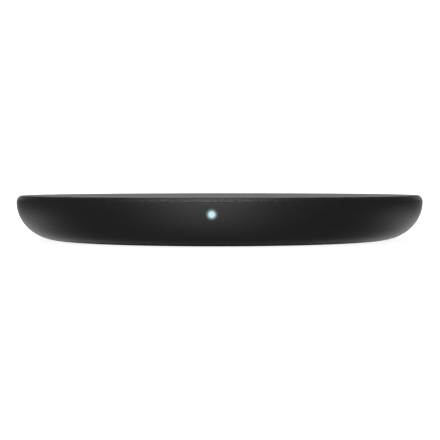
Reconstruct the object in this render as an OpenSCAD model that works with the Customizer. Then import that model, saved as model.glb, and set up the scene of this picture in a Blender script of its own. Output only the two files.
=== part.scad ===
// Round wireless charging pad. A bowl-shaped housing is closed by a cover with a soft skin. The
// transmitting coil hangs under the cover and the electronics sit on one round board below it.
// Origin: middle of the foot's underside. +Z is up, the status light is at -Y, the socket at +Y.

/* [Case] */
// Outside diameter of the pad
pad_d = 98; // [97:0.5:104]
// Overall height, foot included
pad_h = 10.9; // [10.9:0.1:11.3]
// How far the bowl's curved side reaches in from the widest point
bowl_w = 9.85; // [9.4:0.05:10.4]
// Height of the widest point above the table
widest_z = 9.4; // [9.4:0.05:9.6]
// Radius of the rounded top edge
rim_r = 1.75; // [1.75:0.05:2.1]
// Small rounding where that edge runs into the flat top
rim_blend = 0.35; // [0.2:0.05:0.5]
// Distance from the top down to the seam between skin and bowl
seam_drop = 0.95; // [0.9:0.05:1]
// Chamfer on each side of the seam
seam_chamfer = 0.05; // [0.03:0.01:0.12]
// Wall thickness of the bowl
wall_t = 1.5; // [1.3:0.1:1.6]
// Thickness of the soft skin on the cover
skin_t = 0.6; // [0.5:0.05:0.7]
// Thickness of the stiff cover plate
cover_t = 1; // [0.9:0.05:1.1]

/* [Foot] */
// Outer radius of the foot ring
foot_ro = 33; // [32:0.5:34]
// Inner radius of the foot ring
foot_ri = 27; // [26:0.5:28]
// Thickness of the foot ring
foot_t = 1; // [0.8:0.1:1]
// How far the foot stands proud of the bowl
foot_proud = 0.3; // [0.2:0.05:0.4]

/* [Status light] */
// Height of the light above the table
light_z = 7.4; // [7:0.1:7.5]
// Diameter of the light pipe's visible end
light_d = 1.7; // [1.2:0.1:1.8]

/* [Socket] */
// Width of the pocket that takes the plug's moulded end
pocket_w = 12.8; // [12.6:0.1:13.4]
// Height of the pocket
pocket_h = 6.6; // [6.4:0.1:6.7]
// Corner radius of the pocket
pocket_r = 2.6; // [2:0.1:3]

/* [Coil] */
// Full turns of wire
coil_turns = 11; // [8:1:11]
// Diameter of the stranded wire
wire_d = 1.15; // [1:0.05:1.15]
// Radius of the innermost turn, at the wire's middle
coil_r0 = 10.7; // [10:0.1:11]

/* [Board] */
// Radius of the circuit board
board_r = 41; // [40:0.5:41]
// Thickness of the circuit board
board_t = 1; // [0.8:0.1:1]

/* [Hidden] */
$fn = 96;

// Case levels, from the table up
pad_r = pad_d / 2;
base_z = foot_proud;
bowl_cr = pad_r - bowl_w;              // radius of the bowl's flat base
bowl_rise = widest_z - base_z;
floor_z = base_z + wall_t;
seam_z = pad_h - seam_drop;
skin_z = pad_h - skin_t;
ceiling_z = skin_z - cover_t;
skin_side = 0.7;                       // thickness of the skin's skirt
rim_cr = pad_r - rim_r;                // radius at which the rim's arc is centred
cut = 0.5;                             // how far a cutting shape runs past what it cuts

// Fits
slip = 0.1;                            // gap between parts that drop into each other
screw_clear = 0.3;                     // extra diameter of a screw's clearance hole
spigot_r = pad_r - wall_t - slip;

// Foot
tape_t = 0.1;
tape_inset = 0.2;
channel_z = foot_t + tape_t;           // roof of the foot's channel

// Housing screws: up through bowl and board into the cover's posts
screw_ring_r = 30.5;
screw_angles = [45, 135, 225, 315];
screw_d = 2;
screw_len = 6;
head_d = 3.8;
head_h = 0.7;
post_d = 5;
boss_d = 6;

// Board
board_gap = 0.8;
board_z = floor_z + board_gap;
board_top = board_z + board_t;
tongue_w = 12;                         // board tongue under the socket
tongue_y = 42;

// Socket: a Type-C receptacle lying on the board, its mouth in the floor of the pocket
shell_w = 8.94;
shell_h = 3.16;
shell_t = 0.3;
shell_len = 7.35;
port_z = board_top + shell_h / 2;
pocket_y = 43.9;                       // floor of the pocket
pocket_wall = 1;
shell_rear = pocket_y - shell_len;
tail_gap_w = 6.4;                      // opening under the shell's rear for the contact tails
tail_gap_l = 0.9;
core_len = 2.2;                        // depth of the insulator behind its tongue
core_set = 0.3;                        // how far the insulator stands in from the shell's rear
core_fit = 0.02;
core_h = shell_h - 2 * (shell_t + core_fit);
lip_w = 6.7;                           // the insulator's tongue
lip_t = 0.7;
lip_len = 4.4;
contact_n = 12;
contact_pitch = 0.5;
contact_w = 0.26;
leg_w = 1.1;                           // legs that hold the shell to the board
leg_drop = 0.2;

// Light pipe, its sleeve and the light under it
sleeve_d = 3.6;
sleeve_y = 43.6;
collar_d = 2.8;
collar_t = 0.6;
pipe_foot_d = 2.2;
led_y = 39.4;
led_l = 1.6;
led_w = 0.8;
led_base_h = 0.25;
led_dome_l = 1;
led_dome_h = 0.35;
led_gap = 0.3;

// Coil stack, from the cover down
pad_t = 0.35;                          // soft pad between coil and cover
film_t = 0.1;
ferrite_t = 0.9;
shield_t = 0.5;
tray_t = 1;
pitch = wire_d + 0.05;
coil_z = ceiling_z - pad_t - wire_d / 2;
film_z = coil_z - wire_d / 2 - film_t;
ferrite_z = film_z - ferrite_t;
shield_z = ferrite_z - shield_t;
tray_z = shield_z - tray_t;
film_r = 25.4;
ferrite_r = 26;
shield_r = 26.4;
tray_r = 27.6;
tray_wall = 1;
tray_rim_h = 2;
hub_r = 2.2;                           // centre hole for the thermistor's legs

// Coil leads: both leave towards +X, the inner one through a slot below the turns
inner_lead_y = -2.4;
outer_lead_y = 2.9;
lead_slot_x = 8.5;
lead_slot_w = 3.8;
lead_gate_w = 8.4;                     // gap in the tray's rim
lead_end_x = 33;
lead_sides = 8;
lead_steps = 3;

// Tray screws
ear_ring_r = 30;
ear_angles = [90, 210, 330];
ear_d = 5.4;
tray_boss_d = 4.4;
tray_screw_d = 1.7;
tray_screw_len = 3.2;
tray_pilot_len = 3;
tray_head_d = 3.2;
tray_head_h = 0.8;

// Snap hooks between cover and bowl
snap_angles = [0, 60, 120, 180, 240, 300];
snap_span = 22;
snap_r = 47;
snap_t = 1.1;
snap_z = 7.7;
bead_z = 8.05;
bead_h = 0.5;
bead_out = 0.65;
snap_slack = 0.12;

// Stiffening ribs on the housing's floor
rib_w = 0.8;
rib_h = 0.5;
rib_r0 = 5;
rib_r1 = 25.5;

// Thermistor
bead_d = 2.4;
bead_t = 1.6;
leg_d = 0.5;
leg_x = 0.6;
leg_below = 0.4;                       // length of leg left under the board

// Components on the board: place, then size as length, width and height
controller_at = [-9, -12];
controller = [7, 7, 0.9];
driver_at = [4, -17];
driver = [5, 5, 0.8];
mosfet_at = [12, 2];
mosfet_step = [6.6, 7];
mosfet = [4.9, 5.2, 1];
resonant_r = 36.2;
resonant_angles = [-26, -14, 14, 26];
resonant = [4.5, 3.2, 2.2];
bulk_places = [[-13.5, 33.6], [-22.8, 29.2]];
bulk_base = [6.6, 6.6, 0.8];
bulk_can_d = 6.3;
bulk_can_h = 4.4;
inductor_r = 35.8;
inductor_angle = 64;
inductor = [6.6, 6.6, 3];
inductor_lug = [0.6, 2.4, 0.3];
sense_at = [8, 23];
sense = [6.3, 3.2, 0.7];
crystal_at = [-18.5, -14];
crystal_base = [3.2, 2.5, 0.5];
crystal_lid = [2.8, 2.1, 0.8];
surge_at = [-6.4, 31];
surge = [2.6, 4.3, 2.1];
surge_leads = [1.4, 5.2, 0.3];
small = [1.6, 0.8, 0.8];               // small ceramic capacitor
large = [2, 1.25, 1.2];                // large ceramic capacitor
resistor = [1.6, 0.8, 0.45];
halo_r = 6.4;                          // ring of small capacitors round the controller

// ---- Shapes that repeat ----

// Points along an ellipse from angle t0 to t1
function arc(cx, cy, a, b, t0, t1, n) =
    [for (i = [0:n]) let (t = t0 + (t1 - t0) * i / n) [cx + a * cos(t), cy + b * sin(t)]];

// Outline of the bowl's outside, base to widest point
function bowl_side() = arc(bowl_cr, widest_z, bowl_w, bowl_rise, -90, 0, 28);

// Angle on the rim's arc at height z
function rim_angle(z) = asin((z - widest_z) / rim_r);

// Outline of the rim between two angles
function rim_side(t0, t1, n) = arc(rim_cr, widest_z, rim_r, rim_r, t0, t1, n);

module ring(ro, ri, z, h) {
    translate([0, 0, z])
        difference() {
            cylinder(r = ro, h = h);
            translate([0, 0, -cut]) cylinder(r = ri, h = h + 2 * cut);
        }
}

module disc(r, z, h) {
    translate([0, 0, z]) cylinder(r = r, h = h);
}

// A rod lying along Y on the light's side, from distance y0 to y1
module light_rod(d, y0, y1) {
    translate([0, -y0, light_z]) rotate([90, 0, 0]) cylinder(d = d, h = y1 - y0);
}

// Children placed on a circle, turned to face outwards
module around(angles, r) {
    for (a = angles) rotate([0, 0, a]) translate([r, 0, 0]) children();
}

// Rounded rectangle, flat
module round_rect(w, h, r) {
    square([w - 2 * r, h], center = true);
    square([w, h - 2 * r], center = true);
    for (x = [-1, 1], y = [-1, 1])
        translate([x * (w / 2 - r), y * (h / 2 - r)]) circle(r = r);
}

// A rounded bar along Y at the socket's height, from y0 to y1
module socket_bar(w, h, r, y0, y1) {
    translate([0, y1, port_z]) rotate([90, 0, 0]) linear_extrude(y1 - y0) round_rect(w, h, r);
}

// A bar with fully rounded ends
module oval_bar(w, h, y0, y1) {
    nearly_half = h / 2 - 0.01;
    socket_bar(w, h, nearly_half, y0, y1);
}

// Moves children to a place on the board's top
module on_board(at, turned = 0) {
    translate([at.x, at.y, board_top]) rotate([0, 0, turned]) children();
}

// A box standing on z = 0, centred in plan
module block(size) {
    translate([0, 0, size.z / 2]) cube(size, center = true);
}

// A chip with two metal end caps that stand a little proud
module capped_chip(size) {
    cap = size.x / 6;
    proud = 0.04;
    block([size.x - cap, size.y - 2 * proud, size.z - proud]);
    for (s = [-1, 1]) translate([s * (size.x - cap) / 2, 0, 0]) block([cap, size.y, size.z]);
}

// ---- Swept tube for the coil's leads ----

function unit(v) = v / norm(v);
function heading(p, i) = unit(p[min(i + 1, len(p) - 1)] - p[max(i - 1, 0)]);

// Smooth curve through the points p, n steps between each pair
function curve(p, n) = [
    for (i = [0:len(p) - 2], k = [0:n - 1])
        let (t = k / n, a = p[max(i - 1, 0)], b = p[i], c = p[i + 1], d = p[min(i + 2, len(p) - 1)])
        0.5 * (2 * b + (c - a) * t + (2 * a - 5 * b + 4 * c - d) * t * t
            + (3 * b - a - 3 * c + d) * t * t * t),
    p[len(p) - 1]
];

module tube(path, r, sides) {
    steady = [1, 1, 1];                // never parallel to a lead
    rings = [for (i = [0:len(path) - 1])
        let (t = heading(path, i), u = unit(cross(t, steady)), v = cross(t, u))
        for (k = [0:sides - 1])
            path[i] + r * (cos(360 * k / sides) * u + sin(360 * k / sides) * v)];
    last = (len(path) - 1) * sides;
    walls = [for (i = [0:len(path) - 2], k = [0:sides - 1])
        let (a = i * sides + k, b = i * sides + (k + 1) % sides)
        each [[a, a + sides, b], [b, a + sides, b + sides]]];
    polyhedron(rings, concat([[for (k = [0:sides - 1]) k]], walls,
        [[for (k = [0:sides - 1]) last + sides - 1 - k]]));
}

// ---- Case ----

module top_skin() {
    blend_z = pad_h - rim_blend - widest_z;
    blend_x = sqrt(pow(rim_r - rim_blend, 2) - blend_z * blend_z);
    blend_t = atan2(blend_z, blend_x);
    seam_r = rim_cr + rim_r * cos(rim_angle(seam_z));
    color("#2c2c2e")
        rotate_extrude()
            polygon(concat(
                [[0, skin_z], [pad_r - skin_side, skin_z], [pad_r - skin_side, seam_z],
                 [seam_r - seam_chamfer, seam_z]],
                rim_side(rim_angle(seam_z + seam_chamfer), blend_t, 10),
                arc(rim_cr + blend_x, widest_z + blend_z, rim_blend, rim_blend, blend_t + 8, 90, 4),
                [[0, pad_h]]));
}

module snap_hook() {
    rotate([0, 0, -snap_span / 2])
        rotate_extrude(angle = snap_span)
            polygon([[snap_r - snap_t, ceiling_z + cut / 2], [snap_r - snap_t, snap_z],
                [snap_r, snap_z], [snap_r, bead_z], [snap_r + bead_out, bead_z + bead_h / 2],
                [snap_r, bead_z + bead_h], [snap_r, ceiling_z + cut / 2]]);
}

// The bead's shape with slack all round, to cut the groove it snaps into
module snap_groove() {
    span = snap_span + 4;
    low = bead_z - snap_slack;
    high = bead_z + bead_h + snap_slack;
    rotate([0, 0, -span / 2])
        rotate_extrude(angle = span)
            polygon([[snap_r - cut, low - cut], [snap_r, low],
                [snap_r + bead_out + snap_slack, (low + high) / 2], [snap_r, high],
                [snap_r - cut, high + cut]]);
}

module top_cover() {
    pilot_spare = 0.5;
    pilot_len = channel_z + head_h + screw_len + pilot_spare - board_top;
    color("#3a3a3d")
        difference() {
            union() {
                disc(spigot_r, ceiling_z, cover_t);
                disc(pad_r - skin_side, seam_z, skin_z - seam_z);
                around(screw_angles, screw_ring_r)
                    disc(post_d / 2, board_top, ceiling_z - board_top + cut);
                around(ear_angles, ear_ring_r)
                    disc(tray_boss_d / 2, shield_z, ceiling_z - shield_z + cut);
                for (a = snap_angles) rotate([0, 0, a]) snap_hook();
            }
            around(screw_angles, screw_ring_r)
                disc(screw_d / 2, board_top - cut, pilot_len + cut);
            around(ear_angles, ear_ring_r)
                disc(tray_screw_d / 2, shield_z - cut, tray_pilot_len + cut);
        }
}

// The bowl's outer shape filled in, up to the widest point
module bowl_filled() {
    rotate_extrude() polygon(concat([[0, base_z]], bowl_side(), [[0, widest_z]]));
}

module bowl_shell() {
    seam_r = rim_cr + rim_r * cos(rim_angle(seam_z));
    rotate_extrude()
        polygon(concat(
            [[0, base_z]], bowl_side(), rim_side(4, rim_angle(seam_z - seam_chamfer), 4),
            [[seam_r - seam_chamfer, seam_z], [pad_r - wall_t, seam_z]],
            arc(bowl_cr, widest_z, bowl_w - wall_t, bowl_rise - wall_t, 0, -90, 16),
            [[0, floor_z]]));
}

// Walls round the plug's pocket, kept inside the bowl's outline and below the cover
module pocket_block() {
    intersection() {
        bowl_filled();
        socket_bar(pocket_w + 2 * pocket_wall, pocket_h + 2 * pocket_wall, pocket_r + pocket_wall,
            pocket_y - pocket_wall, pad_r);
        disc(pad_r + cut, base_z, ceiling_z - slip - base_z);
    }
}

module floor_ribs() {
    for (a = [0:30:330])
        rotate([0, 0, a])
            translate([rib_r0, -rib_w / 2, floor_z - cut]) cube([rib_r1 - rib_r0, rib_w, rib_h + cut]);
}

module bottom_housing() {
    color("#1b1b1d")
        difference() {
            union() {
                bowl_shell();
                pocket_block();
                around(screw_angles, screw_ring_r)
                    disc(boss_d / 2, floor_z - cut, board_gap + cut);
                light_rod(sleeve_d, sleeve_y, pad_r - wall_t / 2);
                floor_ribs();
            }
            ring(foot_ro + slip, foot_ri - slip, -cut, channel_z + cut);
            around(screw_angles, screw_ring_r) {
                disc((head_d + screw_clear) / 2, channel_z - cut, head_h + cut);
                disc((screw_d + screw_clear) / 2, 0, board_z + cut);
            }
            socket_bar(pocket_w, pocket_h, pocket_r, pocket_y, pad_r + cut);
            oval_bar(shell_w + slip, shell_h + slip, pocket_y - 2 * pocket_wall, pocket_y + cut);
            light_rod(light_d + slip / 2, sleeve_y - cut, pad_r + cut);
            for (a = snap_angles) rotate([0, 0, a]) snap_groove();
        }
}

module foot_ring() {
    color("#141415") ring(foot_ro, foot_ri, 0, foot_t);
}

module foot_adhesive() {
    color("#d8d2c0") ring(foot_ro - tape_inset, foot_ri + tape_inset, foot_t, tape_t);
}

// A screw pointing up: its shank starts at z and its head is below that
module pan_screw(z, head, thick, d, len) {
    tip = d / 2;
    recess_l = head * 0.6;
    recess_h = thick * 0.6;
    difference() {
        translate([0, 0, z - thick]) cylinder(d = head, h = thick);
        for (a = [0, 90])
            translate([0, 0, z - thick]) rotate([0, 0, a])
                cube([recess_l, recess_l / 4, 2 * recess_h], center = true);
    }
    translate([0, 0, z]) cylinder(d = d, h = len - tip);
    translate([0, 0, z + len - tip]) cylinder(d1 = d, d2 = d / 4, h = tip);
}

module housing_screws() {
    color("#9a9da1")
        around(screw_angles, screw_ring_r)
            pan_screw(channel_z + head_h, head_d, head_h, screw_d - 0.04, screw_len);
}

// Carries the status light from the board out through the front of the bowl
module light_pipe() {
    lens_z = board_top + led_base_h + led_dome_h + led_gap;
    pipe_top = light_z + light_d / 2;
    mirror_side = 3;
    color("#d7f5f8")
        difference() {
            union() {
                intersection() {
                    bowl_filled();
                    light_rod(light_d, led_y, pad_r + cut);
                }
                light_rod(collar_d, sleeve_y - collar_t - slip / 2, sleeve_y - slip / 2);
                translate([0, -led_y, lens_z]) cylinder(d = pipe_foot_d, h = pipe_top - lens_z);
            }
            // slanted face that turns the light through a right angle
            translate([0, pipe_foot_d / 2 - led_y, pipe_top])
                rotate([45, 0, 0]) cube([mirror_side, light_d, light_d], center = true);
        }
}

// ---- Coil stack under the cover ----

module coil_carrier() {
    color("#e6e3dc")
        difference() {
            union() {
                disc(tray_r, tray_z, tray_t);
                ring(tray_r, tray_r - tray_wall, shield_z - cut, tray_rim_h + cut);
                around(ear_angles, ear_ring_r) {
                    disc(ear_d / 2, tray_z, tray_t);
                    translate([-ear_d, -ear_d / 2, tray_z]) cube([ear_d, ear_d, tray_t]);
                }
            }
            disc(hub_r, tray_z - cut, tray_t + 2 * cut);
            around(ear_angles, ear_ring_r)
                disc((tray_screw_d + screw_clear) / 2, tray_z - cut, tray_t + 2 * cut);
            translate([tray_r - 2 * tray_wall, -lead_gate_w / 2, shield_z])
                cube([3 * tray_wall, lead_gate_w, tray_rim_h + cut]);
        }
}

module carrier_screws() {
    color("#9a9da1")
        around(ear_angles, ear_ring_r)
            pan_screw(tray_z, tray_head_d, tray_head_h, tray_screw_d - 0.04, tray_screw_len);
}

// A disc with the centre hole and the slot for the coil's inner lead
module slotted_disc(r, z, h) {
    difference() {
        disc(r, z, h);
        disc(hub_r, z - cut, h + 2 * cut);
        translate([lead_slot_x, inner_lead_y - lead_slot_w / 2, z - cut])
            cube([r, lead_slot_w, h + 2 * cut]);
    }
}

module shield_plate() {
    color("#c9ccd0") slotted_disc(shield_r, shield_z, shield_t);
}

module ferrite_disc() {
    color("#4a4644") slotted_disc(ferrite_r, ferrite_z, ferrite_t);
}

module ferrite_tape() {
    color("#e9e2c2") slotted_disc(film_r, film_z, film_t);
}

// Half turns with alternating centres make a continuous flat spiral
module transmit_coil() {
    color("#b96a3c")
        for (k = [0:2 * coil_turns - 1])
            translate([k % 2 * pitch / 2, 0, coil_z])
                rotate([0, 0, 180 * k])
                    rotate_extrude(angle = 180)
                        translate([coil_r0 + k * pitch / 2, 0]) circle(d = wire_d, $fn = 24);
}

module coil_leads() {
    r = wire_d / 2 - 0.03;             // the strands are pulled tight where they leave the coil
    joint = 0.06;
    end_r = coil_r0 + coil_turns * pitch;
    slot_z = shield_z + r + 0.03;
    solder_z = board_top + r + 0.02;
    inner = [[coil_r0, -joint, coil_z], [coil_r0, -0.9, coil_z], [coil_r0 - 0.1, -1.9, coil_z - 0.45],
        [coil_r0 + 0.1, inner_lead_y, coil_z - 1.15], [coil_r0 + 1.8, inner_lead_y, slot_z],
        [19, inner_lead_y, slot_z], [27, inner_lead_y, slot_z], [29.4, inner_lead_y, slot_z - 0.3],
        [30.6, inner_lead_y, slot_z - 1.5], [31.4, inner_lead_y, solder_z + 0.4],
        [lead_end_x, inner_lead_y, solder_z]];
    outer = [[end_r, joint, coil_z], [end_r, 0.9, coil_z], [end_r + 0.5, 2, coil_z],
        [end_r + 1.7, 2.8, coil_z], [27.5, outer_lead_y, coil_z - 0.1],
        [29.4, outer_lead_y, coil_z - 0.9], [30.5, outer_lead_y, coil_z - 2.2],
        [31.3, outer_lead_y, solder_z + 0.6], [lead_end_x, outer_lead_y, solder_z]];
    color("#7d1f1c") {
        tube(curve(inner, lead_steps), r, lead_sides);
        tube(curve(outer, lead_steps), r, lead_sides);
    }
}

module coil_thermal_pad() {
    half_turn = pitch / 2;
    color("#9fb4c4")
        ring(coil_r0 + coil_turns * pitch + half_turn, coil_r0 - half_turn, ceiling_z - pad_t, pad_t);
}

module thermistor() {
    bead_low = ceiling_z - bead_t;
    leg_low = board_z - leg_below;
    color("#2e5f3f") {
        disc(bead_d / 2, bead_low, bead_t);
        for (s = [-1, 1])
            translate([s * leg_x, 0, 0]) disc(leg_d / 2, leg_low, bead_low - leg_low + cut);
    }
}

// ---- Board and what is on it ----

// Places of the four legs that hold the socket's shell to the board
module shell_legs_at() {
    for (x = [-1, 1], y = [1, 4.6])
        translate([x * (shell_w - shell_t) / 2, shell_rear + y, 0]) children();
}

module main_board() {
    leg_slot = [0.8, 1.6, board_t + 2 * cut];
    color("#1e6b45")
        difference() {
            union() {
                disc(board_r, board_z, board_t);
                translate([-tongue_w / 2, 0, board_z]) cube([tongue_w, tongue_y, board_t]);
            }
            around(screw_angles, screw_ring_r)
                disc((screw_d + screw_clear) / 2, board_z - cut, board_t + 2 * cut);
            shell_legs_at() translate([0, 0, board_z + board_t / 2]) cube(leg_slot, center = true);
            for (s = [-1, 1])
                translate([s * leg_x, 0, 0]) disc(leg_d / 2 + slip, board_z - cut, board_t + 2 * cut);
        }
}

module usb_c_shell() {
    leg_low = board_z - leg_drop;
    color("#b9bcc0") {
        difference() {
            oval_bar(shell_w, shell_h, shell_rear, pocket_y);
            oval_bar(shell_w - 2 * shell_t, shell_h - 2 * shell_t, shell_rear - cut, pocket_y + cut);
            translate([-tail_gap_w / 2, shell_rear - cut, board_top - cut])
                cube([tail_gap_w, tail_gap_l + cut, shell_t + 2 * cut]);
        }
        shell_legs_at()
            translate([-shell_t / 2, -leg_w / 2, leg_low]) cube([shell_t, leg_w, port_z - leg_low]);
    }
}

module usb_c_insulator() {
    lip_y = shell_rear + core_len;
    color("#1f1f21") {
        oval_bar(shell_w - 2 * (shell_t + core_fit), core_h, shell_rear + core_set, lip_y);
        translate([-lip_w / 2, lip_y - cut, port_z - lip_t / 2]) cube([lip_w, lip_len + cut, lip_t]);
    }
}

// Contact strips on both faces of the tongue, and their tails down to the board
module usb_c_contacts() {
    strip = [contact_w, 3.4, 0.06];
    strip_y = shell_rear + core_len + 0.5;
    tail_t = 0.15;
    tail_y = shell_rear - 0.8;
    bend_y = shell_rear + core_set + 0.1;
    first = -(contact_n - 1) / 2 * contact_pitch - contact_w / 2;
    color("#d9b25a")
        for (i = [0:contact_n - 1]) translate([first + i * contact_pitch, 0, 0]) {
            translate([0, strip_y, port_z + lip_t / 2]) cube(strip);
            translate([0, strip_y, port_z - lip_t / 2 - strip.z]) cube(strip);
            translate([0, tail_y, board_top]) cube([contact_w, bend_y + tail_t - tail_y, tail_t]);
            translate([0, bend_y, board_top]) cube([contact_w, tail_t, port_z - core_h / 2 - board_top]);
        }
}

module controller_ic() {
    color("#232325") {
        on_board(controller_at) block(controller);
        on_board(driver_at) block(driver);
    }
}

module bridge_mosfets() {
    color("#2a2a2c")
        for (i = [0, 1], k = [0, 1])
            on_board(mosfet_at + [i * mosfet_step.x, k * mosfet_step.y]) block(mosfet);
}

module resonant_capacitors() {
    color("#b58f5d")
        around(resonant_angles, resonant_r) on_board([0, 0], 90) capped_chip(resonant);
}

module bulk_capacitors() {
    color("#c3c6ca")
        for (at = bulk_places)
            on_board(at, atan2(at.y, at.x)) {
                block(bulk_base);
                cylinder(d = bulk_can_d, h = bulk_base.z + bulk_can_h);
            }
}

module power_inductor() {
    color("#4d4d50")
        around([inductor_angle], inductor_r)
            on_board([0, 0]) {
                block(inductor);
                for (s = [-1, 1]) translate([s * inductor.x / 2, 0, 0]) block(inductor_lug);
            }
}

module current_sense_resistor() {
    color("#1f1f22") on_board(sense_at) capped_chip(sense);
}

module crystal() {
    color("#c8c29c")
        on_board(crystal_at) {
            block(crystal_base);
            block(crystal_lid);
        }
}

module surge_diode() {
    color("#26262a")
        on_board(surge_at) {
            block(surge);
            block(surge_leads);
        }
}

module decoupling_capacitors() {
    color("#a98456") {
        for (a = [0:45:315])
            on_board(controller_at + halo_r * [cos(a), sin(a)], a + 90) capped_chip(small);
        for (i = [0:3]) on_board([9 + 3.4 * i, 17.3], 90) capped_chip(large);
        for (i = [0:2]) on_board([4.4 + 3 * i, 29.5], 90) capped_chip(large);
    }
}

module chip_resistors() {
    color("#202024") {
        for (i = [0:5]) on_board([-24, -6 + 2.2 * i]) capped_chip(resistor);
        for (i = [0:4]) on_board([-2 + 2.6 * i, -23.5], 90) capped_chip(resistor);
        for (i = [0:3]) on_board([-14 + 2.8 * i, 6], 90) capped_chip(resistor);
        for (s = [-1, 1]) on_board([4 * s, -37], 90) capped_chip(resistor);
    }
}

module status_led() {
    color("#f4f7f2")
        on_board([0, -led_y]) {
            block([led_l, led_w, led_base_h]);
            block([led_dome_l, led_w, led_base_h + led_dome_h]);
        }
}

top_skin();
top_cover();
bottom_housing();
foot_ring();
foot_adhesive();
light_pipe();
housing_screws();
coil_carrier();
carrier_screws();
shield_plate();
ferrite_disc();
ferrite_tape();
transmit_coil();
coil_leads();
coil_thermal_pad();
thermistor();
main_board();
usb_c_shell();
usb_c_insulator();
usb_c_contacts();
controller_ic();
bridge_mosfets();
resonant_capacitors();
bulk_capacitors();
power_inductor();
current_sense_resistor();
crystal();
surge_diode();
decoupling_capacitors();
chip_resistors();
status_led();
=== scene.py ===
"""A round wireless charging pad on a white table. The outer shells, the foot, the light, the socket and
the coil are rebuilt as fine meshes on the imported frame. The other pieces keep their CAD shape and get a
material."""

from math import asin, atan2, cos, hypot, pi, radians, sin, sqrt

import bmesh
import bpy
import numpy as np
from mathutils import Matrix, Quaternion, Vector

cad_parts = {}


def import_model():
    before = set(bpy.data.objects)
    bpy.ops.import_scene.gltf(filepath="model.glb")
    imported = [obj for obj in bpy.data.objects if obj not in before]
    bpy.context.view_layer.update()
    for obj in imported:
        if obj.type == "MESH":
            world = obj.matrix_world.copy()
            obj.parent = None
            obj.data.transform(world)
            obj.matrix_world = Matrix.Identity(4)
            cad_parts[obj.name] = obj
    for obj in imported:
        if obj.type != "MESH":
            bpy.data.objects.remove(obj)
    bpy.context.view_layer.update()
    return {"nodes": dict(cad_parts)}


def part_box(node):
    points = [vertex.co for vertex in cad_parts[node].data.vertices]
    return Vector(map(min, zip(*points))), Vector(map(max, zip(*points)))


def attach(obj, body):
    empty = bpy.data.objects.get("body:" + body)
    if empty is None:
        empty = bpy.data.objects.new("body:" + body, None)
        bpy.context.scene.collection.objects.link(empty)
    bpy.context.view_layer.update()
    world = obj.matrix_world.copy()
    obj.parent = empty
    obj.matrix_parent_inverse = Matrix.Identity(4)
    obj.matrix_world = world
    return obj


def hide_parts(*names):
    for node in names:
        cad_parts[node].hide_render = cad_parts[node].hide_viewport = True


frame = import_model()

MM = 0.001

# ---- Sizes, in metres, with the frame's own boxes wherever they give them ----

housing_lo, housing_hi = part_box("bottom_housing")
skin_lo, skin_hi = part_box("top_skin")
foot_lo, foot_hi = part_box("foot_ring")
tape_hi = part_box("foot_adhesive")[1]
pipe_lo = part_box("light_pipe")[0]
shell_lo, shell_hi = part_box("usb_c_shell")
core_lo, core_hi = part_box("usb_c_insulator")
board_lo, board_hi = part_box("main_board")
pad_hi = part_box("coil_thermal_pad")[1]
coil_lo, coil_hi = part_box("transmit_coil")

PAD_R = housing_hi.x
BASE_Z = housing_lo.z
SEAM_Z = skin_lo.z
TOP_Z = skin_hi.z
BOWL_W = 9.85 * MM                     # how far the bowl's side reaches in from the widest point
WIDEST_Z = 9.4 * MM
BOWL_CR = PAD_R - BOWL_W               # radius of the flat base
RIM_R = 1.75 * MM
RIM_CR = PAD_R - RIM_R
RIM_BLEND = 0.35 * MM                  # rounding where the rim meets the flat top
CHAMFER = 0.05 * MM                    # on each side of the seam
WALL = 1.5 * MM
FLOOR_Z = BASE_Z + WALL
SKIN_UNDER_Z = TOP_Z - 0.6 * MM
SKIRT_R = PAD_R - 0.7 * MM
SLIP = 0.1 * MM                        # gap between parts that drop into each other

FOOT_RO = foot_hi.x
FOOT_RI = 27 * MM
CHANNEL_Z = tape_hi.z                  # roof of the foot's channel

POCKET_W, POCKET_H, POCKET_R = 12.8 * MM, 6.6 * MM, 2.6 * MM
POCKET_Y = shell_hi.y                  # floor of the pocket
POCKET_WALL = 1 * MM
SHELL_W = shell_hi.x - shell_lo.x
SHELL_H = 3.16 * MM
PORT_Z = shell_hi.z - SHELL_H / 2
MOUTH_ROUND = 0.3 * MM                 # rounding of the pocket's mouth
FLOOR_ROUND = 0.35 * MM                # fillet round the pocket's floor

CORE_W, CORE_H = 8.3 * MM, 2.52 * MM   # the socket's black insert, behind its tongue
CORE_Y0, CORE_Y1 = core_lo.y, 38.75 * MM
TONGUE_W, TONGUE_H = 6.7 * MM, 0.7 * MM
TAIL_GAP_W, TAIL_GAP_L = 6.4 * MM, 0.9 * MM
LEG_L, LEG_STEPS = 1.1 * MM, (1 * MM, 4.6 * MM)

LIGHT_R = 0.85 * MM
LIGHT_Z = 7.4 * MM
SLEEVE_R = 1.8 * MM
SLEEVE_Y = 43.6 * MM
COLLAR_R, COLLAR_T = 1.4 * MM, 0.6 * MM
PIPE_FOOT_R, PIPE_FOOT_Y = 1.1 * MM, 39.4 * MM

BOARD_Z, BOARD_TOP = board_lo.z, board_hi.z
COVER_Z = pad_hi.z                     # underside of the cover
SCREW_RING_R = 30.5 * MM
BOSS_R = 3 * MM
HEAD_HOLE_R, HEAD_H = 2.05 * MM, 0.7 * MM
SHANK_HOLE_R = 1.15 * MM
RIB_R0, RIB_R1, RIB_W, RIB_H = 5 * MM, 25.5 * MM, 0.8 * MM, 0.5 * MM
GROOVE = [(46.5, 7.43), (47, 7.93), (47.77, 8.3), (47, 8.67), (46.5, 9.17)]   # in millimetres
GROOVE_SPAN = 26                       # in degrees
SCREWS, RIBS, GROOVES = 4, 12, 6

COIL_TURNS = 11
COIL_PITCH = 1.2 * MM
COIL_R0 = 10.7 * MM

SEGMENTS = 720                         # round the pad
CUT = 0.5 * MM                         # how far a cutting shape runs past what it cuts
SHARP = 35                             # edges that turn by more than this many degrees stay sharp
MERGE = 1e-7                           # points closer than this become one
HAIR = 0.01 * MM                       # leaves an oval outline a short straight end


# ---- Meshes ----

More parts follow.
